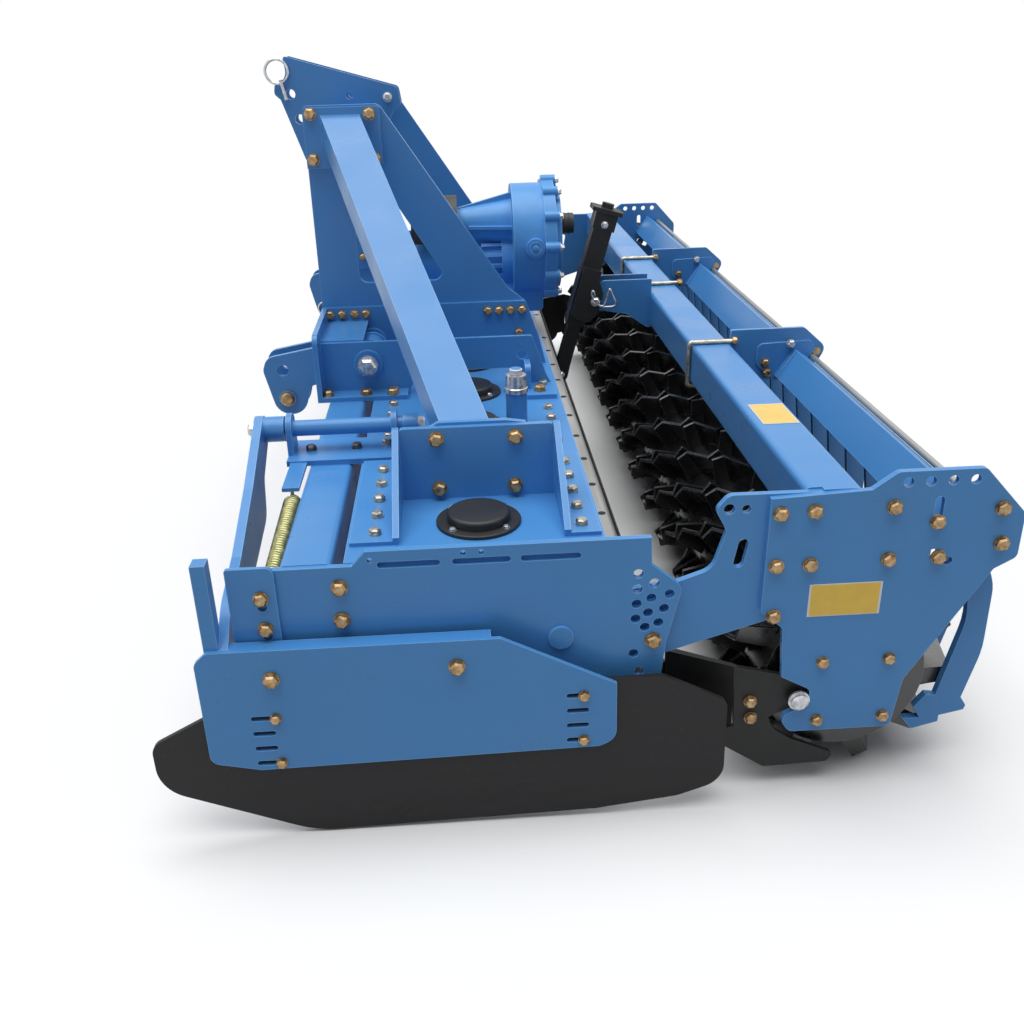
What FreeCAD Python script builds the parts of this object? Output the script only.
import FreeCAD, Part
import math
import os

from FreeCAD import Vector

# Power harrow, 3 m, with a toothed packer roller.  Millimetres.
# +X points to the rear, +Y to the machine's right, +Z up.  The model is drawn with
# X = 0 on the row of rotors and Z = 0 on the floor, and export() moves it so that the
# origin is at the middle of its footprint.

# ---- rotor row ----
ROTOR_COUNT = 12
ROTOR_PITCH = 250.0
ROTOR_TURN_RADIUS = 128.0
ROTOR_HUB_RADIUS = 72.0
ROTOR_HUB_THICK = 34.0
ROTOR_HUB_GAP = 8.0
CARRIER_DROP = 50.0
CARRIER_WIDTH = 112.0
TINE_THICK = 16.0
TINE_TOP_WIDTH = 88.0
TINE_TIP_WIDTH = 42.0
TINE_INSET = 4.0
TINE_TRAIL = 20.0
SHAFT_RADIUS = 30.0
SHAFT_GAP = 0.4

# ---- gear trough ----
TROUGH_TOP = 538.0
COVER_THICK = 8.0
TROUGH_WALL = 8.0
TROUGH_DEPTH = 160.0
TROUGH_HALF = 155.0
TROUGH_CHAMFER = 30.0
TROUGH_BOTTOM = TROUGH_TOP - COVER_THICK - TROUGH_DEPTH
COVER_FRONT = -236.0
COVER_REAR = 222.0
BOSS_RADIUS = 78.0
BOSS_DROP = 28.0
ROTOR_HUB_TOP = TROUGH_BOTTOM - BOSS_DROP - ROTOR_HUB_GAP
ROTOR_HUB_BOTTOM = ROTOR_HUB_TOP - ROTOR_HUB_THICK
CARRIER_BOTTOM = ROTOR_HUB_BOTTOM - CARRIER_DROP
TINE_TOP = ROTOR_HUB_BOTTOM - TINE_INSET
CAP_FLANGE_RADIUS = 78.0
CAP_DOME_RADIUS = 58.0
CAP_HEIGHT = 24.0
GUARD_THICK = 6.0
GUARD_REACH = 26.0
GUARD_DROP = 68.0

# ---- ends of the machine, distances from its middle plane ----
TROUGH_END = ROTOR_COUNT * ROTOR_PITCH / 2.0 - 12.0
END_PLATE_THICK = 12.0
ARM_PLATE_THICK = 12.0
RUN_GAP = 5.0
ARM_PLATE_IN = TROUGH_END + 8.0
ARM_PLATE_OUT = ARM_PLATE_IN + ARM_PLATE_THICK
END_PLATE_IN = ARM_PLATE_OUT + RUN_GAP
END_PLATE_OUT = END_PLATE_IN + END_PLATE_THICK
STOP_OUT = END_PLATE_OUT + 8.0
BOARD_THICK = 8.0
BOARD_OUT = STOP_OUT + 37.0
BOARD_IN = BOARD_OUT - BOARD_THICK
BLADE_THICK = 10.0

# ---- front beam ----
BEAM_WALL = 6.0
FRONT_BEAM_SIZE = 90.0
FRONT_BEAM_FRONT = -346.0

# ---- headstock ----
PIVOT_X = -246.0
PIVOT_Z = 619.0
PIVOT_RADIUS = 16.0
PIVOT_GAP = 0.4
HEAD_PLATE = 10.0
HEAD_INNER = 387.0
HEAD_OUTER = 593.0
HEAD_TOP = 710.0
HEAD_OUTER_TOP = 668.0
HEAD_FRONT = -372.0
HEAD_FRONT_THICK = 12.0
FOOT_THICK = 12.0
FOOT_REACH = 655.0
REAR_FOOT_REACH = 698.0
LINK_ARM_MIDDLE = 495.0
LINK_ARM_GAP = 56.0
LINK_ARM_PLATE = 12.0
LINK_SLOT_SIDE = 8.0
LINK_HOLE_RADIUS = 14.5
LINK_HOLE = (-469.0, 588.0)
LINK_PIN = (-464.0, 516.0)
LINK_PIN_RADIUS = 14.0

# ---- tower ----
LEG_THICK = 12.0
LEG_OUTER = HEAD_INNER
LEG_TOP = 1202.0
LEG_WINDOW_TOP = LEG_TOP - 192.0
LEG_BOTTOM = 655.0
LEG_FRONT = -372.0
CROSS_TUBE = 100.0
CROSS_FRONT = -335.0
CROSS_BOTTOM = LEG_TOP - 134.0
TOP_LINK_GAP = 56.0
TOP_LINK_PLATE = 12.0
TOP_LINK_HOLE = (-444.0, LEG_TOP + 11.0)
TOP_LINK_LOW_HOLE = (-426.0, LEG_TOP - 53.0)
TOP_LINK_HOLE_RADIUS = 12.9

# ---- braces from the tower to the trough ----
BRACE_WIDTH = 94.0
BRACE_DEPTH = 68.0
BRACE_WALL = 5.0
BRACE_TOP = (-282.0, LEG_TOP - 56.0)
BRACE_LOW = (-19.0, 655.0)
FLANGE_THICK = 12.0
BRACE_FOOT_Y = TROUGH_END - 224.0
BRACE_FOOT_START = TROUGH_END - 418.0
BRACE_FOOT_END = TROUGH_END - 33.0
BRACE_FOOT_TOP = 683.0
BRACE_FOOT_WIDTH = 292.0
BRACE_FOOT_X = 4.0
GUSSET_THICK = 12.0

# ---- gearbox ----
PINION_Z = 745.0
PINION_NOSE_RADIUS = 46.0
PINION_NOSE_FRONT = -160.0
NECK_RADIUS = 60.0
FIN_FRONT = 58.0
FIN_REAR = 116.0
FIN_RADIUS = 74.0
FIN_THICK = 9.0
FIN_COUNT = 15
PTO_Z = 845.0
PTO_RADIUS = 17.4
PTO_FRONT = -96.0
PTO_SHOULDER_RADIUS = 24.0
HORN_FRONT = -8.0
DRUM_FRONT = 147.0
DRUM_REAR = 235.0
DRUM_RADIUS = 156.0
DRUM_Z = 800.0
RIM_THICK = 50.0
RIM_LUGS = 12
GUARD_FRONT = -141.0
GUARD_RADIUS = 84.0
GUARD_LOW = 808.0
GUARD_WALL = 4.0
REAR_COVER_LENGTH = 45.0

# ---- side boards ----
BOARD_PIVOT_Y = TROUGH_END - 488.0
BOARD_PIVOT_Z = 600.0
BOARD_PIN_RADIUS = 12.0
BOARD_ARM_FRONT = -458.0
BOARD_ARM_THICK = 18.0
BOARD_BUSH_RADIUS = 27.0
EAR_FRONT = -392.0
EAR_THICK = 12.0
PIVOT_TUBE_RADIUS = 17.0
BOARD_TOP = 406.0
BOARD_SLOTS = 4
BOARD_SLOT_PITCH = 32.0
BOARD_SLOT_RUN = 31.0
BOARD_BOLT_RADIUS = 11.0
BOARD_BOLT_SHANK = 3.4
BOARD_FLANGE = BOARD_IN - STOP_OUT - RUN_GAP
SPRING_RADIUS = 18.5
SPRING_TOP_X = -367.0
SPRING_LOW_X = -378.0
SPRING_STRAP_REACH = 196.0
SPRING_PIN_Y = TROUGH_END - 48.0
SPRING_PIN_Z = 466.0

# ---- roller frame ----
ARM_PIVOT_X = 135.0
ARM_PIVOT_Z = 376.0
ARM_PIN_RADIUS = 15.0
ARM_EYE_RADIUS = 55.0
ROLLER_X = 680.0
ROLLER_TIP_RADIUS = 225.0
ROLLER_DRUM_RADIUS = 168.0
ROLLER_END = TROUGH_END - 10.0
ROLLER_SHAFT_RADIUS = 25.0
ROLLER_Z = ROLLER_TIP_RADIUS
BEARING_SIZE = 150.0
REAR_BEAM_SIZE = 100.0
REAR_BEAM_FRONT = 560.0
REAR_BEAM_TOP = 630.0
RING_PITCH = 127.0
RING_COUNT = 2 * int((ROLLER_END - 60.0) / RING_PITCH) + 1
RING_TURN = 14.2
RING_PHASE = 15.8
TOOTH_COUNT = 11
TOOTH_WIDTH = 98.0
TOOTH_SKEW = 28.0
TOOTH_WING = 24.0
TOOTH_THICK = 8.0
SCRAPER_THICK = 16.0
BRACKET_PLACES = (-588.0, 80.0, 588.0)
BRACKET_THICK = 10.0
LEVEL_BAR_X = 340.0
LEVEL_BAR_END = TROUGH_END - 52.0
LEVEL_THICK = 10.0

# ---- screw jack between the trough and the roller frame ----
JACK_EYE = (290.0, 386.0)
JACK_LEAN = math.radians(16.0)
JACK_PIN_ALONG = 250.4
JACK_TUBE_SIZE = 56.0
JACK_WALL = 5.0
JACK_TUBE_LOW = 160.0
JACK_TUBE_HIGH = 500.0
JACK_ROD = 40.0
JACK_ROD_LOW = 46.0
JACK_ROD_HIGH = 400.0
JACK_PIN_RADIUS = 9.5
JACK_PIN_BACK = JACK_TUBE_SIZE / 2.0 + 5.0
JACK_EYE_RADIUS = 24.0
JACK_EYE_PLAY = 3.0
JACK_EYE_PLATE = 9.0
JACK_LUG_THICK = 16.0
JACK_BRACKET_THICK = 8.0
JACK_BRACKET_IN = JACK_TUBE_SIZE / 2.0 + RUN_GAP
JACK_BRACKET_OUT = JACK_BRACKET_IN + JACK_BRACKET_THICK
JACK_CHEEK_IN = JACK_BRACKET_OUT + RUN_GAP
JACK_CHEEK_THICK = 8.0

FRONT_REACH = -602.0
REAR_REACH = 947.0
ORIGIN_X = (FRONT_REACH + REAR_REACH) / 2.0


# ---------------------------------------------------------------- helpers

def corner_arc(before, at, after, radius):
    """The start, middle and end of the arc that rounds one corner of an outline."""
    to_before = (before - at).normalize()
    to_after = (after - at).normalize()
    half = to_before.getAngle(to_after) / 2.0
    reach = radius / math.tan(half)
    start = at + to_before * reach
    end = at + to_after * reach
    inward = (to_before + to_after).normalize()
    centre = at + inward * (radius / math.sin(half))
    return start, centre - inward * radius, end


def outline_wire(points, place):
    """A closed wire through (u, v) or (u, v, radius) points, set in space by place(u, v)."""
    spots = [Vector(p[0], p[1], 0) for p in points]
    runs = []
    for i, point in enumerate(points):
        at = spots[i]
        if len(point) == 3:
            runs.append(corner_arc(spots[i - 1], at, spots[(i + 1) % len(spots)], point[2]))
        else:
            runs.append((at, at, at))
    edges = []
    for i, (start, middle, end) in enumerate(runs):
        put = [place(v.x, v.y) for v in (start, middle, end)]
        if (end - start).Length > 1e-6:
            edges.append(Part.Arc(*put).toShape())
        following = runs[(i + 1) % len(runs)][0]
        if (following - end).Length > 1e-6:
            edges.append(Part.LineSegment(put[2], place(following.x, following.y)).toShape())
    return Part.Wire(edges)


def plate_xz(points, low, high):
    """A plate that stands along the machine, between two Y values."""
    wire = outline_wire(points, lambda u, v: Vector(u, low, v))
    return Part.Face(wire).extrude(Vector(0, high - low, 0))


def plate_yz(points, low, high):
    """A plate that stands across the machine, between two X values."""
    wire = outline_wire(points, lambda u, v: Vector(low, u, v))
    return Part.Face(wire).extrude(Vector(high - low, 0, 0))


def plate_xy(points, low, high):
    """A plate that lies flat, between two Z values."""
    wire = outline_wire(points, lambda u, v: Vector(u, v, low))
    return Part.Face(wire).extrude(Vector(0, 0, high - low))


def block(x, y, z):
    """A block between three pairs of limits."""
    return Part.makeBox(x[1] - x[0], y[1] - y[0], z[1] - z[0], Vector(x[0], y[0], z[0]))


def rod_x(radius, x, y, z):
    return Part.makeCylinder(radius, x[1] - x[0], Vector(x[0], y, z), Vector(1, 0, 0))


def rod_y(radius, x, y, z):
    return Part.makeCylinder(radius, y[1] - y[0], Vector(x, y[0], z), Vector(0, 1, 0))


def rod_z(radius, x, y, z):
    return Part.makeCylinder(radius, z[1] - z[0], Vector(x, y, z[0]), Vector(0, 0, 1))


def joined(pieces):
    """Pieces that are welded or cast together, as one solid."""
    return pieces[0].multiFuse(pieces[1:]).removeSplitter()


def holes_y(spots, radius, y):
    """Round holes through a plate that stands along the machine."""
    return [rod_y(radius, x, y, z) for x, z in spots]


def slot_y(start, end, width, y):
    """A straight slot with round ends through a plate that stands along the machine."""
    first = Vector(start[0], 0, start[1])
    last = Vector(end[0], 0, end[1])
    along = (last - first).normalize()
    side = Vector(-along.z, 0, along.x) * (width / 2.0)
    corners = [first + side, last + side, last - side, first - side]
    middle = plate_xz([(c.x, c.z) for c in corners], y[0], y[1])
    ends = holes_y([start, end], width / 2.0, y)
    return middle.fuse(ends)


def mirrored(shape):
    """The same piece on the machine's other side."""
    return shape.mirror(Vector(0, 0, 0), Vector(0, 1, 0))


def both_sides(name, shape):
    """A left piece and its mirrored right twin, as named nodes."""
    return {name + "_left": shape, name + "_right": mirrored(shape)}


def rotor_places():
    """Y of each rotor's axis, from the machine's left to its right."""
    middle = (ROTOR_COUNT - 1) / 2.0
    return [(i - middle) * ROTOR_PITCH for i in range(ROTOR_COUNT)]


# ---------------------------------------------------------------- trough

def trough_section(y_low, y_high):
    """The pressed channel that holds the gear train, open at the top."""
    top = TROUGH_TOP - COVER_THICK
    under = top - TROUGH_WALL
    bottom = TROUGH_BOTTOM
    w = TROUGH_HALF
    c = TROUGH_CHAMFER
    t = TROUGH_WALL
    outside = [(COVER_FRONT, top), (COVER_FRONT, under), (-w, under), (-w, bottom + c),
               (c - w, bottom), (w - c, bottom), (w, bottom + c), (w, under),
               (COVER_REAR, under), (COVER_REAR, top), (w - t, top), (w - t, bottom + c + t / 2),
               (w - c - t / 2, bottom + t), (c - w + t / 2, bottom + t),
               (t - w, bottom + c + t / 2), (t - w, top)]
    return plate_xz(outside, y_low, y_high)


def trough_end_wall(y_low, y_high):
    top = TROUGH_TOP - COVER_THICK
    bottom = TROUGH_BOTTOM
    w = TROUGH_HALF
    c = TROUGH_CHAMFER
    wall = [(-w, top), (-w, bottom + c), (c - w, bottom), (w - c, bottom), (w, bottom + c), (w, top)]
    return plate_xz(wall, y_low, y_high)


def jack_lug():
    """The ear behind the trough, with the pin that the screw's fork turns on."""
    x, z = JACK_EYE
    half = JACK_LUG_THICK / 2.0
    root = TROUGH_HALF - 1.0
    shape = [(root, z - 14), (x - 10, z - 22, 20), (x + 22, z - 22, 20), (x + 22, z + 22, 20),
             (x - 10, z + 22, 20), (root, z + 70)]
    reach = half + JACK_EYE_PLATE + 8.0
    return [plate_xz(shape, -half, half), rod_y(JACK_PIN_RADIUS, x, (-reach, reach), z)]


def gear_trough():
    bottom = TROUGH_BOTTOM
    pieces = [trough_section(-TROUGH_END, TROUGH_END)]
    pieces.append(trough_end_wall(-TROUGH_END, TROUGH_WALL - TROUGH_END))
    pieces.append(trough_end_wall(TROUGH_END - TROUGH_WALL, TROUGH_END))
    for y in rotor_places():
        pieces.append(rod_z(BOSS_RADIUS, 0, y, (bottom - BOSS_DROP, bottom + TROUGH_WALL)))
    pieces += jack_lug()
    bore = SHAFT_RADIUS + SHAFT_GAP
    bores = [rod_z(bore, 0, y, (bottom - BOSS_DROP - 1, bottom + TROUGH_WALL + 1))
             for y in rotor_places()]
    return joined(pieces).cut(bores)


def trough_cover():
    top = (TROUGH_TOP - COVER_THICK, TROUGH_TOP)
    return block((COVER_FRONT, COVER_REAR), (-END_PLATE_IN, END_PLATE_IN), top)


def rotor_cap(y):
    """A round bearing cap on the cover, with a domed middle."""
    z = TROUGH_TOP
    profile = [(0, z), (CAP_FLANGE_RADIUS, z), (CAP_FLANGE_RADIUS, z + 7, 2), (CAP_DOME_RADIUS, z + 7),
               (CAP_DOME_RADIUS, z + CAP_HEIGHT, 6), (0, z + CAP_HEIGHT)]
    wire = outline_wire(profile, lambda u, v: Vector(u, 0, v))
    cap = Part.Face(wire).revolve(Vector(0, 0, 0), Vector(0, 0, 1), 360)
    cap.translate(Vector(0, y, 0))
    return cap


def rotor_caps():
    """One cap over each rotor, apart from the two under the gearbox."""
    places = [y for y in rotor_places() if abs(y) > ROTOR_PITCH]
    return Part.makeCompound([rotor_cap(y) for y in places])


def rear_guard_strip():
    """The rolled strip along the trough's rear edge."""
    x = COVER_REAR
    z = TROUGH_TOP - 2.0
    t = GUARD_THICK
    r = GUARD_REACH
    shape = [(x, z), (x + r, z, 16), (x + r, z - GUARD_DROP), (x + r - t, z - GUARD_DROP),
             (x + r - t, z - t, 16 - t), (x, z - t)]
    return plate_xz(shape, -TROUGH_END, TROUGH_END)


def front_beam():
    x = (FRONT_BEAM_FRONT, FRONT_BEAM_FRONT + FRONT_BEAM_SIZE)
    z = (TROUGH_TOP - FRONT_BEAM_SIZE, TROUGH_TOP)
    y = (-END_PLATE_IN, END_PLATE_IN)
    outer = plate_xz([(x[0], z[0], 10), (x[1], z[0], 10), (x[1], z[1], 10), (x[0], z[1], 10)], *y)
    w = BEAM_WALL
    inner = block((x[0] + w, x[1] - w), y, (z[0] + w, z[1] - w))
    return outer.cut(inner)


# ---------------------------------------------------------------- trough ends

def adjusting_holes():
    """The grid of holes that the roller arm's stop bolts move in."""
    columns = [(271, 494, 268, 404), (300, 474, 285, 386), (327, 451, 309, 394)]
    spots = []
    for x0, z0, x1, z1 in columns:
        steps = 3 if x0 < 320 else 2
        for i in range(steps + 1):
            f = i / steps
            spots.append((x0 + (x1 - x0) * f, z0 + (z1 - z0) * f))
    return spots + [(266, 332), (277, 293)]


def end_plate():
    """The plate that closes the left end of the trough and carries the roller arm."""
    y = (-END_PLATE_OUT, -END_PLATE_IN)
    top = TROUGH_TOP + 25.0
    shape = [(-400, TROUGH_TOP - 2, 8), (-221, TROUGH_TOP - 2), (-197, top), (292, top),
             (294, top - 53), (350, 465, 25), (325, 355), (313, 250), (290, 236), (-250, 236), (-400, 386, 8)]
    plate = plate_xz(shape, *y)
    cuts = holes_y(adjusting_holes(), 9.0, y)
    cuts += holes_y([(-190, TROUGH_TOP + 8), (-31, TROUGH_TOP + 14), (0, TROUGH_TOP + 14)], 5.0, y)
    z = TROUGH_TOP - 2.0
    for start, end in ((-172, -77), (-44, 44), (73, 165)):
        cuts.append(slot_y((start, z), (end, z), 12.0, y))
    plate = plate.cut(cuts)
    head = rod_y(22.0, ARM_PIVOT_X, (-END_PLATE_OUT - 6, -END_PLATE_OUT), ARM_PIVOT_Z)
    pin = rod_y(ARM_PIN_RADIUS, ARM_PIVOT_X, (-END_PLATE_OUT - 6, -TROUGH_END), ARM_PIVOT_Z)
    return joined([plate, head, pin])


def end_stop():
    """The small slotted plate at the front of the trough's left end."""
    y = (-STOP_OUT, -END_PLATE_OUT)
    shape = [(-434, 398, 8), (-352, 398, 4), (-352, 545, 14), (-434, 545, 5)]
    slots = [slot_y((-378, 470), (-378, 490), 16, y), slot_y((-375, 412), (-375, 431), 16, y)]
    return plate_xz(shape, *y).cut(slots)


# ---------------------------------------------------------------- headstock

def head_side(top, y_low, y_high, rear_hole):
    """A side plate of the headstock, raised over the bearing caps between its feet."""
    foot = TROUGH_TOP
    arch = TROUGH_TOP + 54.0
    shape = [(HEAD_FRONT + HEAD_FRONT_THICK, foot), (-152, foot), (-122, arch, 12), (118, arch, 12),
             (148, foot), (212, foot), (194, top - 100), (160, top, 10),
             (HEAD_FRONT + HEAD_FRONT_THICK, top)]
    plate = plate_xz(shape, y_low, y_high)
    cuts = holes_y([(-150, 634)], 10.0, (y_low, y_high))
    if rear_hole:
        cuts += holes_y([(134, 624)], 12.0, (y_low, y_high))
    return plate.cut(cuts)


def head_front(y_low, y_high):
    """The headstock's front plate, with the slot that the link arm swings in."""
    side = LINK_ARM_GAP / 2.0 + LINK_ARM_PLATE + LINK_SLOT_SIDE
    slot = (-LINK_ARM_MIDDLE - side, -LINK_ARM_MIDDLE + side)
    roof = HEAD_OUTER_TOP
    shape = [(y_low, TROUGH_TOP), (slot[0], TROUGH_TOP), (slot[0], roof, 10), (slot[1], roof, 10),
             (slot[1], TROUGH_TOP), (y_high, TROUGH_TOP), (y_high, HEAD_TOP), (y_low, HEAD_TOP - 6, 20)]
    return plate_yz(shape, HEAD_FRONT, HEAD_FRONT + HEAD_FRONT_THICK)


def pivot_bosses():
    """Rings round the link arm's pivot bolt on both side plates, and the bolt."""
    x, z = PIVOT_X, PIVOT_Z
    inner = HEAD_INNER + HEAD_PLATE
    outer = HEAD_OUTER + HEAD_PLATE
    rings = [rod_y(34.0, x, (-outer - 8, -outer), z), rod_y(34.0, x, (-inner - 8, -inner), z)]
    bolt = rod_y(PIVOT_RADIUS, x, (-outer - 8, -HEAD_INNER), z)
    head = rod_y(22.0, x, (-outer - 20, -outer - 8), z)
    return rings + [bolt, head]


def headstock():
    """The welded box on the trough's left half that carries one link arm and tower leg."""
    inner = HEAD_INNER + HEAD_PLATE
    outer = HEAD_OUTER + HEAD_PLATE
    front = HEAD_FRONT
    foot = (TROUGH_TOP, TROUGH_TOP + FOOT_THICK)
    pieces = [head_side(HEAD_TOP, -inner, -HEAD_INNER, False)]
    pieces.append(head_side(HEAD_OUTER_TOP + 4, -outer, -HEAD_OUTER, True))
    pieces.append(head_front(-FOOT_REACH, -HEAD_INNER))
    roof = (HEAD_OUTER_TOP, HEAD_OUTER_TOP + 8)
    pieces.append(block((front + HEAD_FRONT_THICK, -255), (-HEAD_OUTER, -inner), roof))
    pieces.append(block((front, -152), (-FOOT_REACH, -outer), foot))
    pieces.append(block((138, 212), (-REAR_FOOT_REACH, -outer), foot))
    rib = [(-FOOT_REACH, foot[0]), (-outer, foot[0]), (-outer, 612), (-FOOT_REACH, 612, 18)]
    pieces.append(plate_yz(rib, 138, 152))
    return joined(pieces + pivot_bosses())


def link_arm():
    """The forked arm for the tractor's left lower link, with its hitch pin."""
    x, z = PIVOT_X, PIVOT_Z
    shape = [(x + 42, z + 44, 40), (x + 42, z - 44, 40), (x, z - 44), (-403, 545, 18), (-424, 472, 42),
             (-492, 472, 42), (-519, 590, 30), (-507, 622, 30), (-389, 643)]
    half = LINK_ARM_GAP / 2.0
    middle = -LINK_ARM_MIDDLE
    plates = []
    for low, high in ((-half - LINK_ARM_PLATE, -half), (half, half + LINK_ARM_PLATE)):
        plates.append(plate_xz(shape, middle + low, middle + high))
    eye = rod_y(36.0, x, (middle - half - LINK_ARM_PLATE - 6, middle + half + LINK_ARM_PLATE + 6), z)
    spacer = rod_y(24.0, -330, (middle - half, middle + half), 600)
    head = middle - half - LINK_ARM_PLATE
    pin = rod_y(LINK_PIN_RADIUS, LINK_PIN[0], (head - 7, -2 * LINK_ARM_MIDDLE - head + 12), LINK_PIN[1])
    pin_head = rod_y(20.0, LINK_PIN[0], (head - 7, head), LINK_PIN[1])
    whole = (middle - 80, middle + 80)
    cuts = [rod_y(PIVOT_RADIUS + PIVOT_GAP, x, whole, z)]
    cuts += holes_y([LINK_HOLE], LINK_HOLE_RADIUS, whole)
    return joined(plates + [eye, spacer, pin, pin_head]).cut(cuts)


# ---------------------------------------------------------------- tower

def tower_leg():
    """The tall plate over the left headstock, with its window."""
    y = (-LEG_OUTER, -LEG_OUTER + LEG_THICK)
    shape = [(LEG_FRONT, LEG_BOTTOM), (160, LEG_BOTTOM), (160, 706), (114, 744, 40),
             (-184, LEG_TOP - 6, 8), (-194, LEG_TOP), (LEG_FRONT, LEG_TOP, 8)]
    window = [(-269, 770, 22), (-40, 770, 20), (-190, LEG_WINDOW_TOP, 26), (-269, LEG_WINDOW_TOP, 26)]
    return plate_xz(shape, *y).cut(plate_xz(window, *y))


def top_link_plate(y_low, y_high):
    z = LEG_TOP
    shape = [(-456, z + 107, 6), (-449, z + 46, 30), (-484, z + 38, 10), (-488, z + 12, 14), (-472, z - 2, 10),
             (-416, z - 172, 20), (-330, z - 152), (-222, z - 152), (-172, z - 42), (-147, z - 22, 10),
             (-154, z + 22, 14)]
    plate = plate_xz(shape, y_low, y_high)
    big = holes_y([TOP_LINK_HOLE, TOP_LINK_LOW_HOLE], TOP_LINK_HOLE_RADIUS, (y_low, y_high))
    return plate.cut(big + holes_y([(-183, z - 3), (-285, z + 4)], 10.0, (y_low, y_high)))


def top_link_head():
    """The cross tube between the tower's legs and the two plates for the top link."""
    half = TOP_LINK_GAP / 2.0
    side = LEG_OUTER - LEG_THICK
    x = (CROSS_FRONT, CROSS_FRONT + CROSS_TUBE)
    z = (CROSS_BOTTOM, CROSS_BOTTOM + CROSS_TUBE)
    w = BEAM_WALL
    tube = block(x, (-side, side), z)
    bore = block((x[0] + w, x[1] - w), (-side, side), (z[0] + w, z[1] - w))
    plates = [top_link_plate(half, half + TOP_LINK_PLATE), top_link_plate(-half - TOP_LINK_PLATE, -half)]
    return joined(plates + [tube]).cut(bore)


# ---------------------------------------------------------------- braces

def rectangle_at(x, y, z, width, depth):
    w = width / 2.0
    d = depth / 2.0
    corners = [Vector(x - w, y, z - d), Vector(x + w, y, z - d), Vector(x + w, y, z + d),
               Vector(x - w, y, z + d), Vector(x - w, y, z - d)]
    return Part.Face(Part.makePolygon(corners))


def brace():
    """The box-section strut from the tower's left leg down to the trough, with its end plates."""
    top_y = -LEG_OUTER - FLANGE_THICK
    low_y = -BRACE_FOOT_Y + 2 * FLANGE_THICK
    run = Vector(BRACE_LOW[0] - BRACE_TOP[0], low_y - top_y, BRACE_LOW[1] - BRACE_TOP[1])
    outer = rectangle_at(BRACE_TOP[0], top_y, BRACE_TOP[1], BRACE_WIDTH, BRACE_DEPTH).extrude(run)
    wall = 2 * BRACE_WALL
    hollow = rectangle_at(BRACE_TOP[0], top_y, BRACE_TOP[1], BRACE_WIDTH - wall, BRACE_DEPTH - wall)
    tube = outer.cut(hollow.extrude(run))
    low, high = LEG_TOP - 144, LEG_TOP - 4
    flange = plate_xz([(LEG_FRONT, low), (-186, low, 6), (-186, high, 6), (LEG_FRONT, high, 6)], top_y, -LEG_OUTER)
    edge = BRACE_LOW[1] + BRACE_DEPTH / 2.0
    foot = plate_xz([(-94, 550), (98, 550), (98, edge - 6), (60, edge, 20), (-68, edge, 10), (-94, edge - 16)],
                    -BRACE_FOOT_Y + FLANGE_THICK, low_y)
    return joined([tube, flange, foot])


def brace_foot():
    """The bracket on the trough that the left brace is bolted to."""
    half = BRACE_FOOT_WIDTH / 2.0
    middle = BRACE_FOOT_X
    z = TROUGH_TOP
    y = (-BRACE_FOOT_Y, -BRACE_FOOT_Y + FLANGE_THICK)
    pieces = [plate_xz([(middle - half, z), (middle + half, z), (middle + half, BRACE_FOOT_TOP, 8),
                        (middle - half, BRACE_FOOT_TOP, 8)], *y)]
    gusset = [(y[1], z), (y[1], BRACE_FOOT_TOP), (y[0], BRACE_FOOT_TOP), (-BRACE_FOOT_END, z + 14),
              (-BRACE_FOOT_END, z)]
    g = GUSSET_THICK
    pieces.append(plate_yz(gusset, middle - half - g, middle - half))
    pieces.append(plate_yz(gusset, middle + half, middle + half + g))
    flange_y = (-BRACE_FOOT_END, -BRACE_FOOT_START)
    flange_z = (z, z + 8.0)
    pieces.append(block((COVER_FRONT + 6, middle - half - g), flange_y, flange_z))
    pieces.append(block((middle + half + g, COVER_REAR - 6), flange_y, flange_z))
    return joined(pieces)


# ---------------------------------------------------------------- gearbox

def cone_x(radius_front, radius_rear, x, y, z):
    return Part.makeCone(radius_front, radius_rear, x[1] - x[0], Vector(x[0], y, z), Vector(1, 0, 0))


def gearbox_fins():
    """Cooling fins round the pinion's rear bearing."""
    fins = []
    for i in range(FIN_COUNT):
        fin = block((FIN_FRONT, FIN_REAR), (-FIN_THICK / 2.0, FIN_THICK / 2.0), (NECK_RADIUS - 14, FIN_RADIUS))
        fin.rotate(Vector(0, 0, 0), Vector(1, 0, 0), 360.0 * i / FIN_COUNT)
        fin.translate(Vector(0, 0, PINION_Z))
        fins.append(fin)
    return fins


def gearbox_bell():
    """The round body on the trough that holds the bevel gears, flared out to its foot."""
    z = TROUGH_TOP
    profile = [(0, z), (178, z), (178, z + 20, 4), (130, z + 26, 24), (104, z + 100, 40), (56, z + 140, 30),
               (56, PINION_Z + 56, 20), (0, PINION_Z + 56)]
    wire = outline_wire(profile, lambda u, v: Vector(u, 0, v))
    return Part.Face(wire).revolve(Vector(0, 0, 0), Vector(0, 0, 1), 360)


def gearbox_horn():
    """The tapered housing of the input shaft with its upper web and two side ribs."""
    front, rear = HORN_FRONT, DRUM_FRONT + 2
    cone = cone_x(46.0, 70.0, (front, rear), 0, PTO_Z)
    web = plate_xz([(front, PTO_Z + 30), (rear, PTO_Z + 50), (rear, PTO_Z + 88), (front, PTO_Z + 48)], -7, 7)
    ribs = plate_xy([(24, -60), (rear, -84), (rear, 84), (24, 60)], PTO_Z - 4, PTO_Z + 4)
    return [cone, web, ribs]


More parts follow.
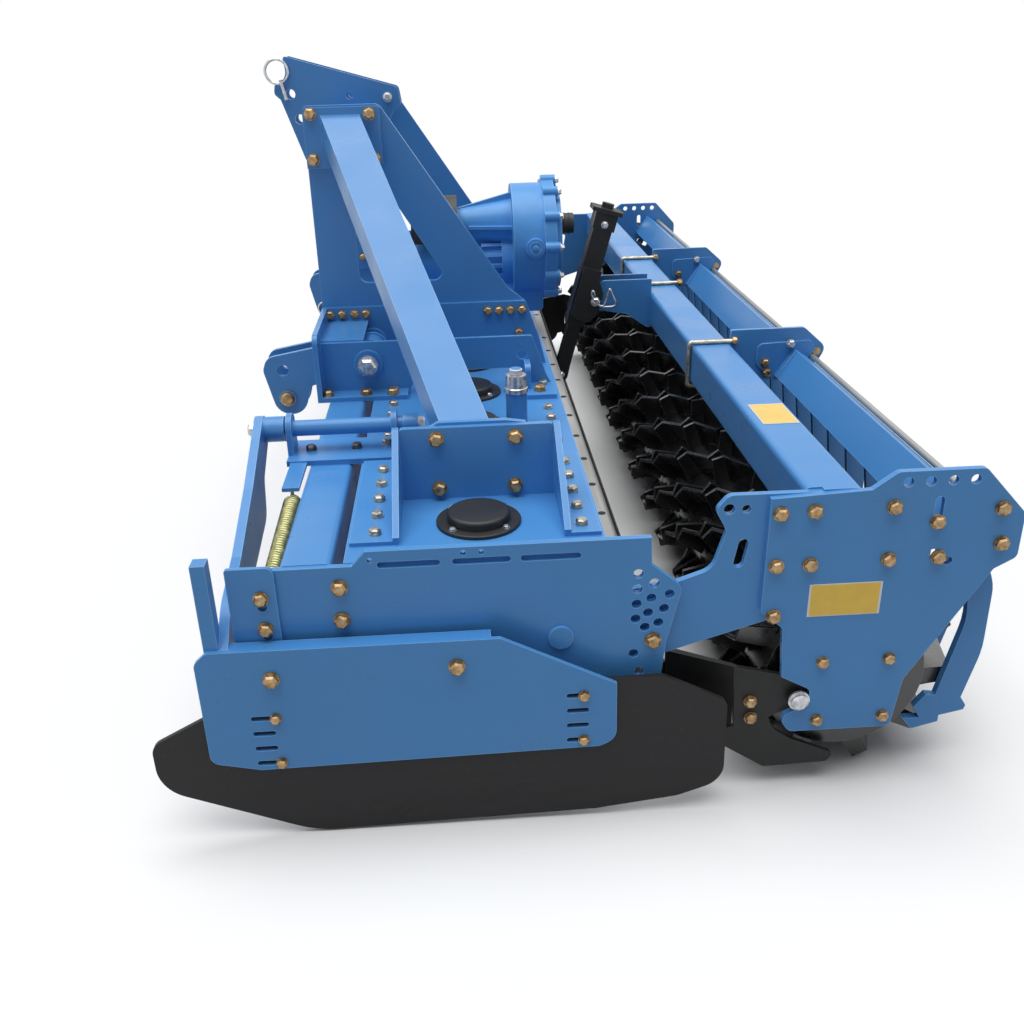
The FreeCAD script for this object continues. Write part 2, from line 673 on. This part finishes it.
def gearbox_housing():
    """The cast gearbox: bell, pinion nose, finned neck, change gear drum and input horn."""
    z = PINION_Z
    pieces = [gearbox_bell()]
    pieces.append(rod_x(PINION_NOSE_RADIUS, (PINION_NOSE_FRONT, 0), 0, z))
    pieces.append(rod_x(PINION_NOSE_RADIUS + 16, (-128, 0), 0, z))
    pieces.append(rod_x(NECK_RADIUS, (0, FIN_REAR), 0, z))
    pieces.append(rod_x(FIN_RADIUS + 4, (FIN_REAR, DRUM_FRONT), 0, z))
    pieces.append(rod_x(DRUM_RADIUS, (DRUM_FRONT, DRUM_REAR), 0, DRUM_Z))
    foot = [(DRUM_FRONT + 14, 596, 14), (DRUM_REAR, 596, 14), (DRUM_REAR, 670), (DRUM_FRONT + 14, 670)]
    pieces.append(plate_xz(foot, -54, 54))
    pieces.append(rod_y(26.0, DRUM_REAR - 28, (-DRUM_RADIUS - 10, 0), DRUM_Z))
    pieces += gearbox_horn()
    bore = rod_x(PTO_SHOULDER_RADIUS + SHAFT_GAP, (HORN_FRONT - 1, FIN_FRONT), 0, PTO_Z)
    return joined(pieces + gearbox_fins()).cut(bore)


def gearbox_cover():
    """The bolted cover behind the change gears, with a lug for each bolt."""
    x = (DRUM_REAR, DRUM_REAR + RIM_THICK)
    pieces = [rod_x(DRUM_RADIUS + 8, (x[0], x[1] - 16), 0, DRUM_Z), rod_x(DRUM_RADIUS - 14, x, 0, DRUM_Z)]
    for i in range(RIM_LUGS):
        angle = math.tau * i / RIM_LUGS
        y = math.sin(angle) * (DRUM_RADIUS + 6)
        z = DRUM_Z + math.cos(angle) * (DRUM_RADIUS + 6)
        pieces.append(rod_x(15.0, (x[0], x[1] - 8), y, z))
    return joined(pieces)


def rear_shaft_cover():
    """The cap over the through shaft behind the gearbox."""
    x = DRUM_REAR + RIM_THICK
    z = PTO_Z - 6
    return joined([rod_x(29.0, (x, x + REAR_COVER_LENGTH), 0, z), rod_x(38.0, (x, x + 8), 0, z)])


def guard_arch(radius, x):
    """A solid arch over the input shaft with straight sides down to the guard's lower edge."""
    block_low = block(x, (-radius, radius), (GUARD_LOW, PTO_Z))
    return rod_x(radius, x, 0, PTO_Z).fuse(block_low).common(block(x, (-radius, radius), (GUARD_LOW, PTO_Z + radius)))


def pto_guard():
    """The arched guard over the input shaft, open to the front and below."""
    x = (GUARD_FRONT, HORN_FRONT)
    shell = guard_arch(GUARD_RADIUS, x).cut(guard_arch(GUARD_RADIUS - GUARD_WALL, (x[0], x[1] - GUARD_WALL)))
    hole = rod_x(PTO_SHOULDER_RADIUS + GUARD_WALL, x, 0, PTO_Z)
    return shell.cut(hole)


def oil_filler():
    """The filler neck on the trough's cover, with its breather cap."""
    x, y, z = 103.0, -871.0, TROUGH_TOP
    return joined([rod_z(24.0, x, y, (z, z + 82)), rod_z(22.0, x, y, (z + 82, z + 120)),
                   rod_z(12.0, x, y, (z + 120, z + 134))])


def pto_shaft():
    """The splined input shaft's stub."""
    stub = rod_x(PTO_RADIUS, (PTO_FRONT, HORN_FRONT + 4), 0, PTO_Z)
    shoulder = rod_x(PTO_SHOULDER_RADIUS, (HORN_FRONT + 4, 50), 0, PTO_Z)
    groove_x = (PTO_FRONT + 30, PTO_FRONT + 38)
    groove = rod_x(PTO_RADIUS + 2, groove_x, 0, PTO_Z).cut(rod_x(PTO_RADIUS - 3, groove_x, 0, PTO_Z))
    return joined([stub, shoulder]).cut(groove)


# ---------------------------------------------------------------- side boards

def board_pivot():
    """The bracket on the trough that the left side board's arm swings on."""
    y, z = -BOARD_PIVOT_Y, BOARD_PIVOT_Z
    base = (TROUGH_TOP, TROUGH_TOP + FOOT_THICK)
    pieces = [block((EAR_FRONT, -158), (y - 64, y + 60), base)]
    ear = [(y - 34, base[0]), (y + 34, base[0]), (y + 30, z + 32, 28), (y - 30, z + 32, 28)]
    pieces.append(plate_yz(ear, EAR_FRONT, EAR_FRONT + EAR_THICK))
    pieces.append(plate_yz(ear, -172, -160))
    pieces.append(rod_x(PIVOT_TUBE_RADIUS, (EAR_FRONT, -146), y, z))
    pieces.append(rod_x(22.0, (-146, -116), y, z))
    pieces.append(rod_x(BOARD_PIN_RADIUS, (BOARD_ARM_FRONT, EAR_FRONT), y, z))
    strap = block((SPRING_TOP_X - 17, SPRING_TOP_X + 17), (y - SPRING_STRAP_REACH, y - 60), (base[0], base[0] + 8))
    return joined(pieces + [strap])


def board_arm():
    """The arm from the pivot down to the left side board."""
    y, z = -BOARD_PIVOT_Y, BOARD_PIVOT_Z
    shape = [(y + 28, z - 28, 24), (y + 28, z + 29, 26), (y - 8, z + 29), (y - 195, z - 51),
             (y - 370, z - 113), (y - 500, z - 143, 120), (-BOARD_IN, BOARD_TOP - 2), (-BOARD_IN, 330),
             (-1420, 380, 80), (y - 98, z - 158, 40), (y - 72, z - 82, 30)]
    return plate_yz(shape, BOARD_ARM_FRONT, BOARD_ARM_FRONT + BOARD_ARM_THICK)


def board_bolt(x, z):
    """One round-headed bolt that holds the left board to its arm's flange."""
    face = -BOARD_OUT - BOARD_BOLT_SHANK
    head = Part.makeSphere(BOARD_BOLT_RADIUS, Vector(x, face, z))
    return head.fuse(rod_y(BOARD_BOLT_RADIUS, x, (face, -BOARD_IN), z)).cut(
        block((x - BOARD_BOLT_RADIUS, x + BOARD_BOLT_RADIUS), (-BOARD_IN, -BOARD_IN + BOARD_BOLT_RADIUS),
              (z - BOARD_BOLT_RADIUS, z + BOARD_BOLT_RADIUS)))


def side_board():
    """The left side board with its arm, top flange, upright bar, bolts and spring pin."""
    y, z = -BOARD_PIVOT_Y, BOARD_PIVOT_Z
    board = plate_xz([(-500, 176, 20), (-500, 386, 18), (-478, BOARD_TOP), (26, BOARD_TOP), (230, 300),
                      (231, 180, 30), (200, 166, 20), (-412, 156)], -BOARD_OUT, -BOARD_IN)
    slots = []
    for i in range(BOARD_SLOTS):
        drop = i * BOARD_SLOT_PITCH
        for start, height in ((-413, 267 - drop), (145, 279 - drop)):
            end = start + BOARD_SLOT_RUN
            slots.append(slot_y((start, height), (end, height), 10, (-BOARD_OUT, -BOARD_IN)))
    flange = block((-478, 10), (-BOARD_IN, -BOARD_IN + BOARD_FLANGE), (BOARD_TOP - 8, BOARD_TOP))
    bar = block((-481, -456), (-BOARD_IN, -BOARD_IN + 30), (BOARD_TOP - 8, 569))
    arm_rear = BOARD_ARM_FRONT + BOARD_ARM_THICK
    bush = rod_x(BOARD_BUSH_RADIUS, (arm_rear, EAR_FRONT - RUN_GAP), y, z)
    hook = rod_x(7.0, (arm_rear, SPRING_LOW_X + 10), -SPRING_PIN_Y, SPRING_PIN_Z)
    bore = rod_x(BOARD_PIN_RADIUS + PIVOT_GAP, (BOARD_ARM_FRONT - 2, EAR_FRONT), y, z)
    bolts = [board_bolt(-372, 349), board_bolt(-51, 355)]
    return joined([board.cut(slots), flange, bar, board_arm(), bush, hook] + bolts).cut(bore)


def side_blade():
    """The blade that is bolted inside the left side board and reaches down to the soil."""
    shape = [(FRONT_REACH, 214, 30), (-500, 268), (-480, 300), (231, 304), (315, 305, 20), (434, 243, 24),
             (436, 64, 50), (350, 34, 60), (196, 15), (-330, 3, 180), (FRONT_REACH, 118, 70)]
    return plate_xz(shape, -BOARD_IN, -BOARD_IN + BLADE_THICK)


def side_spring():
    """The left board's spring as the plain outer shape of its coil, with its two end hooks."""
    top = Vector(SPRING_TOP_X, -BOARD_PIVOT_Y - SPRING_STRAP_REACH + 10, TROUGH_TOP - 26)
    low = Vector(SPRING_LOW_X, -SPRING_PIN_Y + 24, SPRING_PIN_Z)
    run = low - top
    coil = Part.makeCylinder(SPRING_RADIUS, run.Length, top, run)
    upper = rod_z(4.0, top.x, top.y - 3, (top.z, TROUGH_TOP))
    lower = rod_y(4.0, low.x, (-SPRING_PIN_Y + 7.3, low.y), SPRING_PIN_Z)
    return joined([coil, upper, lower])


# ---------------------------------------------------------------- roller frame

def roller_plate():
    """The left end plate of the roller frame, with its bearing block."""
    y = (-ARM_PLATE_OUT - END_PLATE_THICK, -ARM_PLATE_OUT)
    top = REAR_BEAM_TOP + 31
    shape = [(496, REAR_BEAM_TOP - 8), (494, 401), (536, 365), (544, 259), (600, 228, 12), (600, 200, 12),
             (547, 166, 16), (567, 135, 18), (762, 135, 14), (775, 240), (908, 465), (REAR_REACH, 487, 14),
             (REAR_REACH, 572, 20), (864, top, 14), (712, top, 14), (669, REAR_BEAM_TOP)]
    cuts = holes_y([(731 + 39 * i, 641) for i in range(4)], 9.0, y)
    cuts.append(slot_y((791, 572), (791, 604), 16, y))
    cuts.append(slot_y((822, 486), (793, 503), 16, y))
    plate = plate_xz(shape, *y).cut(cuts)
    half = BEARING_SIZE / 2.0
    inner = (-ARM_PLATE_OUT, -ARM_PLATE_OUT + 26)
    block_shape = [(ROLLER_X - half, ROLLER_Z - half, 16), (ROLLER_X + half, ROLLER_Z - half, 16),
                   (ROLLER_X + half, ROLLER_Z + half, 16), (ROLLER_X - half, ROLLER_Z + half, 16)]
    bearing = plate_xz(block_shape, *inner)
    bore = rod_y(ROLLER_SHAFT_RADIUS + SHAFT_GAP, ROLLER_X, inner, ROLLER_Z)
    return joined([plate, bearing]).cut(bore)


def roller_arm():
    """The left arm of the roller frame, from the trough's end to the rear beam."""
    y = (-ARM_PLATE_OUT, -ARM_PLATE_IN)
    x, z, r = ARM_PIVOT_X, ARM_PIVOT_Z, ARM_EYE_RADIUS
    shape = [(x - r, z + r, r - 2), (x - r, z - r, r - 2), (322, 318, 60), (560, 392), (590, 430),
             (590, REAR_BEAM_TOP - 4), (426, REAR_BEAM_TOP - 3, 20), (404, 600, 14), (426, 560, 10),
             (404, 486, 34), (345, 465, 20)]
    cuts = holes_y([(ARM_PIVOT_X, ARM_PIVOT_Z)], ARM_PIN_RADIUS + PIVOT_GAP, y)
    cuts += holes_y([(428, 601)], 10.0, y)
    cuts += holes_y([(458, 600)], 8.0, y)
    cuts.append(slot_y((457, 534), (450, 496), 18, y))
    return plate_xz(shape, *y).cut(cuts)


def jack_point(across, along):
    """A point of the jack, given behind its axis and along it from the eye, as the machine's (x, z)."""
    c, s = math.cos(JACK_LEAN), math.sin(JACK_LEAN)
    return JACK_EYE[0] + across * c + along * s, JACK_EYE[1] - across * s + along * c


def jack_bracket_plates():
    """Two plates in front of the rear beam, on either side of the jack, that its pin turns in."""
    x, z = jack_point(JACK_PIN_BACK, JACK_PIN_ALONG)
    beam = REAR_BEAM_FRONT + 1
    shape = [(x - 24, z - 24, 23), (x + 26, z - 32, 20), (beam - 72, 572, 40), (beam - 12, 530, 10), (beam, 530),
             (beam, z + 57), (x + 26, z + 57, 14), (x - 24, z + 20, 23)]
    low, high = JACK_BRACKET_IN, JACK_BRACKET_OUT
    bore = rod_y(JACK_PIN_RADIUS + PIVOT_GAP, x, (-high, high), z)
    return [plate_xz(shape, low, high).cut(bore), plate_xz(shape, -high, -low).cut(bore)]


def roller_beam():
    """The roller frame's rear cross beam with the jack's bracket."""
    x = (REAR_BEAM_FRONT, REAR_BEAM_FRONT + REAR_BEAM_SIZE)
    z = (REAR_BEAM_TOP - REAR_BEAM_SIZE, REAR_BEAM_TOP)
    reach = ARM_PLATE_OUT
    w = BEAM_WALL
    body = [(x[0], z[0], 12), (x[1], z[0], 12), (x[1], z[1], 12), (x[0], z[1], 12)]
    outer = plate_xz(body, -reach, reach)
    hollow = block((x[0] + w, x[1] - w), (-reach, reach), (z[0] + w, z[1] - w))
    notch = []
    for low, high in ((-ARM_PLATE_OUT, -ARM_PLATE_IN), (ARM_PLATE_IN, ARM_PLATE_OUT)):
        notch.append(block((x[0] - 1, 590), (low, high), (z[0] - 1, z[1] + 1)))
    return joined([outer.cut([hollow] + notch)] + jack_bracket_plates())


def scraper_line():
    """Two ends of the scraper bar's main face, as (x, z)."""
    return (780.0, 540.0), (825.0, 608.0)


def scraper_bar():
    """The angle section behind the beam that the scrapers hang on."""
    low, top = scraper_line()
    length = math.hypot(top[0] - low[0], top[1] - low[1])
    ux, uz = (top[0] - low[0]) / length, (top[1] - low[1]) / length
    t = 8.0
    leg = 52.0
    points = [low, top, (top[0] + uz * leg, top[1] - ux * leg),
              (top[0] + uz * leg - ux * t, top[1] - ux * leg - uz * t),
              (top[0] + uz * t - ux * t, top[1] - ux * t - uz * t), (low[0] + uz * t, low[1] - ux * t)]
    return plate_xz(points, -ARM_PLATE_OUT, ARM_PLATE_OUT)


def scraper(y):
    """One scraper: a curved arm behind the roller, a foot and a hard tip between the tooth rings."""
    half = SCRAPER_THICK / 2.0
    arm = [(794, 537), (834, 512, 30), (892, 440, 60), (906, 330, 160), (866, 140), (919, 140), (947, 260, 200),
           (945, 400, 100), (908, 500, 60), (812, 582)]
    foot = [(852, 164), (922, 154), (935, 134, 6), (932, 124), (849, 106), (831, 136)]
    tip = [(812, 111), (832, 85, 4), (884, 99), (884, 116), (849, 110)]
    return joined([plate_xz(shape, y - half, y + half) for shape in (arm, foot, tip)])


def scrapers():
    """One scraper on each side of every tooth ring, as separate solids."""
    places = [(i - RING_COUNT / 2.0) * RING_PITCH for i in range(RING_COUNT + 1)]
    bar = scraper_bar()
    return Part.makeCompound([scraper(y).cut(bar) for y in places])


def scraper_bracket(y):
    beam = REAR_BEAM_FRONT + REAR_BEAM_SIZE
    top = REAR_BEAM_TOP + 27
    shape = [(beam, top, 6), (847, top, 14), (905, 606, 20), (888, 572, 20), (790, 530, 20), (beam, 530)]
    plate = plate_xz(shape, y - BRACKET_THICK / 2.0, y + BRACKET_THICK / 2.0)
    pin = rod_y(11.0, 886, (y - 14, y + 14), 594)
    return joined([plate, pin]).cut(scraper_bar())


def scraper_brackets():
    return Part.makeCompound([scraper_bracket(y) for y in BRACKET_PLACES])


def levelling_bar():
    """The cross plate that levels the soil between the rotors and the roller."""
    x = LEVEL_BAR_X
    shape = [(x, 250), (x - 6, 240), (x - 6, 90, 20), (x + 34, 52), (x + 42, 60), (x + 4, 94, 18), (x + 4, 250)]
    return plate_xz(shape, -LEVEL_BAR_END, LEVEL_BAR_END)


def levelling_arm():
    """The left end of the levelling bar: its slanted panel, slotted arm and pointed wing."""
    y_out = -ARM_PLATE_OUT
    y_in = y_out + LEVEL_THICK
    arm = plate_xz([(457, 279), (546, 256), (548, 330, 8), (600, 330, 8), (600, 206, 20), (565, 180), (530, 162),
                    (465, 142)], y_out, y_in)
    wing = plate_xz([(450, 142), (450, 100, 6), (529, 46, 8), (652, 50, 10), (666, 68, 7), (576, 109, 60),
                     (539, 136, 40), (530, 162)], y_out, y_in)
    bolt = rod_y(16.0, 580, (y_out - END_PLATE_THICK, y_out), 207)
    end = -LEVEL_BAR_END
    panel = plate_xy([(460, y_out), (344, end - 4), (344, end + 8), (352, end + 8), (462, y_in)], 110, 279)
    return joined([arm, wing, panel, bolt])


# ---------------------------------------------------------------- packer roller

def bent_outline(spots, thick):
    """The outline of a bent plate seen edge on, from its middle line and its thickness."""
    runs = [(b - a).normalize() for a, b in zip(spots, spots[1:])]
    left, right = [], []
    for i, at in enumerate(spots):
        before, after = runs[max(i - 1, 0)], runs[min(i, len(runs) - 1)]
        side = Vector(-before.y, before.x, 0)
        mitre = (side + Vector(-after.y, after.x, 0)).normalize()
        reach = mitre * (thick / 2.0 / mitre.dot(side))
        left.append(at + reach)
        right.append(at - reach)
    return left + right[::-1]


def tooth_section(radius, wing):
    """A tooth's Z-shaped outline at one radius, on the top of the drum."""
    u = TOOTH_SKEW / 2.0
    v = (TOOTH_WIDTH - TOOTH_THICK) / 2.0
    line = [Vector(-u - wing, v, 0), Vector(-u, v, 0), Vector(u, -v, 0), Vector(u + wing, -v, 0)]
    corners = [Vector(spot.x, spot.y, radius) for spot in bent_outline(line, TOOTH_THICK)]
    return Part.makePolygon(corners + [corners[0]])


def roller_tooth():
    """One tooth at the top of the drum: a skewed web between two wings, with its foot sunk in the drum."""
    tip_height = math.sqrt(ROLLER_TIP_RADIUS ** 2 - (TOOTH_SKEW / 2.0 + TOOTH_WING) ** 2)
    root = tooth_section(ROLLER_DRUM_RADIUS - 8, TOOTH_WING + 10)
    return Part.makeLoft([root, tooth_section(tip_height, TOOTH_WING)], True, True)


def packer_roller():
    """The drum with its staggered rings of teeth and its two stub shafts."""
    drum = rod_y(ROLLER_DRUM_RADIUS, 0, (-ROLLER_END, ROLLER_END), 0)
    inner = ARM_PLATE_OUT - 2
    shaft = rod_y(ROLLER_SHAFT_RADIUS, 0, (-inner, inner), 0)
    pieces = [drum, shaft]
    tooth = roller_tooth()
    step = 360.0 / TOOTH_COUNT
    for i in range(RING_COUNT):
        ring = i - (RING_COUNT - 1) / 2.0
        for k in range(TOOTH_COUNT):
            placed = tooth.copy()
            placed.rotate(Vector(0, 0, 0), Vector(0, 1, 0), RING_PHASE + RING_TURN * ring + step * k)
            placed.translate(Vector(0, ring * RING_PITCH, 0))
            pieces.append(placed)
    roller = pieces[0].multiFuse(pieces[1:])
    roller.translate(Vector(ROLLER_X, 0, ROLLER_Z))
    return roller


# ---------------------------------------------------------------- jack

def set_on_jack(shape):
    """Moves a piece drawn upright over the lower eye to the jack's real lean and place."""
    shape.rotate(Vector(0, 0, 0), Vector(0, 1, 0), math.degrees(JACK_LEAN))
    shape.translate(Vector(JACK_EYE[0], 0, JACK_EYE[1]))
    return shape


def square_tube(half, wall, low, high):
    return block((-half, half), (-half, half), (low, high)).cut(
        block((wall - half, half - wall), (wall - half, half - wall), (low, high)))


def jack_cheeks():
    """The plates outside the bracket that carry the jack on its pin, with the packers above."""
    half = JACK_TUBE_SIZE / 2.0
    px, pz = JACK_PIN_BACK, JACK_PIN_ALONG
    top = pz + 88.0
    shape = [(-half + 2, pz - 62, 10), (px - 2, pz - 70, 20), (px + 18, pz - 34, 14), (px + 18, pz + 26, 24),
             (half, pz + 62), (half, top), (-half + 2, top)]
    inner, outer = JACK_CHEEK_IN, JACK_CHEEK_IN + JACK_CHEEK_THICK
    packer = (pz + 68, top)
    pieces = [rod_y(JACK_PIN_RADIUS, px, (-outer - 6, outer + 6), pz)]
    for side in (1, -1):
        low, high = sorted((side * inner, side * outer))
        pieces.append(plate_xz(shape, low, high))
        low, high = sorted((side * (half - 1), side * outer))
        pieces.append(block((-half + 2, half), (low, high), packer))
    return pieces


def jack_tube():
    """The jack's outer tube with its crank head, its cheeks and the pin."""
    half = JACK_TUBE_SIZE / 2.0
    low, high = JACK_TUBE_LOW, JACK_TUBE_HIGH
    head = high - 58.0
    pieces = [square_tube(half, JACK_WALL, low, head), block((-half, half), (-half, half), (head, high))]
    pieces.append(block((-half - 5, half + 5), (-half - 5, half + 5), (head + 10, high)))
    pieces.append(plate_xy([(-half - 18, -44, 10), (half + 18, -44, 10), (half + 18, 44, 10),
                            (-half - 18, 44, 10)], high, high + 12))
    pieces.append(rod_z(18.0, 0, 0, (high + 12, high + 26)))
    guide = square_tube(half, half - JACK_ROD / 2.0 - 0.4, low, low + 20)
    return set_on_jack(joined(pieces + [guide] + jack_cheeks()))


def jack_screw():
    """The jack's inner rod with the fork that is pinned behind the trough."""
    half = JACK_ROD / 2.0
    r = JACK_EYE_RADIUS
    eye = [(-r, -r, r - 2), (r, -r, r - 2), (half, JACK_ROD_LOW), (-half, JACK_ROD_LOW)]
    inner = JACK_LUG_THICK / 2.0 + 2.0
    pieces = [block((-half, half), (-half, half), (JACK_ROD_LOW, JACK_ROD_HIGH))]
    pieces.append(plate_xz(eye, inner, inner + JACK_EYE_PLATE))
    pieces.append(plate_xz(eye, -inner - JACK_EYE_PLATE, -inner))
    hole = rod_y(JACK_PIN_RADIUS + JACK_EYE_PLAY, 0, (-half, half), 0)
    return set_on_jack(joined(pieces).cut(hole))


# ---------------------------------------------------------------- rotors

def rotor_tine(turn):
    """A knife tine on the +X end of its carrier, trailing against the turn."""
    reach = math.sqrt(ROTOR_TURN_RADIUS ** 2 - (TINE_TOP_WIDTH / 2.0) ** 2)
    half = TINE_TOP_WIDTH / 2.0
    tip = TINE_TIP_WIDTH / 2.0
    back = -turn * TINE_TRAIL
    knee = CARRIER_BOTTOM - 20
    shape = [(-half, TINE_TOP, 8), (half, TINE_TOP, 8), (half, knee, 30), (back + tip, 0), (back - tip, 0),
             (-half, knee, 30)]
    return plate_yz(shape, reach - TINE_THICK, reach)


def rotor(number, y):
    """One rotor: shaft, hub, tine carrier and its two tines."""
    turn = 1 if number % 2 else -1
    reach = math.sqrt(ROTOR_TURN_RADIUS ** 2 - (TINE_TOP_WIDTH / 2.0) ** 2) - TINE_THICK
    bottom = TROUGH_BOTTOM
    shaft = rod_z(SHAFT_RADIUS, 0, 0, (ROTOR_HUB_TOP - 4, bottom + 60))
    hub = rod_z(ROTOR_HUB_RADIUS, 0, 0, (ROTOR_HUB_BOTTOM, ROTOR_HUB_TOP))
    w = CARRIER_WIDTH / 2.0
    waist = w + 12
    carrier = plate_xy([(-reach, -w + 14), (-40, -waist, 30), (40, -waist, 30), (reach, -w + 14),
                        (reach, w - 14), (40, waist, 30), (-40, waist, 30), (-reach, w - 14)],
                       CARRIER_BOTTOM, ROTOR_HUB_BOTTOM + 2)
    tine = rotor_tine(turn)
    other = tine.copy()
    other.rotate(Vector(0, 0, 0), Vector(0, 0, 1), 180)
    nut = rod_z(24.0, 0, 0, (CARRIER_BOTTOM - 16, CARRIER_BOTTOM))
    whole = joined([shaft, hub, carrier, tine, other, nut])
    whole.rotate(Vector(0, 0, 0), Vector(0, 0, 1), 90.0 * (number % 2))
    whole.translate(Vector(0, y, 0))
    return whole


# ---------------------------------------------------------------- the whole machine

def frame_nodes():
    nodes = {"gear_trough": gear_trough(), "trough_cover": trough_cover(), "rotor_caps": rotor_caps(),
             "rear_guard_strip": rear_guard_strip(), "front_beam": front_beam(),
             "top_link_head": top_link_head(), "gearbox_housing": gearbox_housing(),
             "end_stops": Part.makeCompound([end_stop(), mirrored(end_stop())]),
             "gearbox_cover": gearbox_cover(), "rear_shaft_cover": rear_shaft_cover(),
             "pto_guard": pto_guard(), "oil_filler": oil_filler(), "pto_shaft": pto_shaft()}
    nodes.update(both_sides("end_plate", end_plate()))
    nodes.update(both_sides("side_spring", side_spring()))
    nodes.update(both_sides("headstock", headstock()))
    nodes.update(both_sides("link_arm", link_arm()))
    nodes.update(both_sides("tower_leg", tower_leg()))
    nodes.update(both_sides("brace", brace()))
    nodes.update(both_sides("brace_foot", brace_foot()))
    nodes.update(both_sides("board_pivot", board_pivot()))
    nodes.update(both_sides("side_board", side_board()))
    nodes.update(both_sides("side_blade", side_blade()))
    return nodes


def roller_nodes():
    nodes = {"roller_beam": roller_beam(), "scraper_bar": scraper_bar(), "scrapers": scrapers(),
             "scraper_brackets": scraper_brackets(), "levelling_bar": levelling_bar(),
             "packer_roller": packer_roller(), "jack_tube": jack_tube(), "jack_screw": jack_screw()}
    nodes.update(both_sides("roller_plate", roller_plate()))
    nodes.update(both_sides("roller_arm", roller_arm()))
    nodes.update(both_sides("levelling_arm", levelling_arm()))
    return nodes


def rotor_nodes():
    return {"rotor_%02d" % (i + 1): rotor(i, y) for i, y in enumerate(rotor_places())}


def export(nodes):
    os.makedirs("parts", exist_ok=True)
    for name, shape in nodes.items():
        placed = shape.copy()
        placed.translate(Vector(-ORIGIN_X, 0, 0))
        placed.exportStep("parts/%s.step" % name)
        print(name, len(shape.Solids), round(shape.Volume / 1e3), "cm3", shape.isValid())


def main():
    nodes = frame_nodes()
    nodes.update(roller_nodes())
    nodes.update(rotor_nodes())
    export(nodes)


if __name__ == "__main__":
    main()
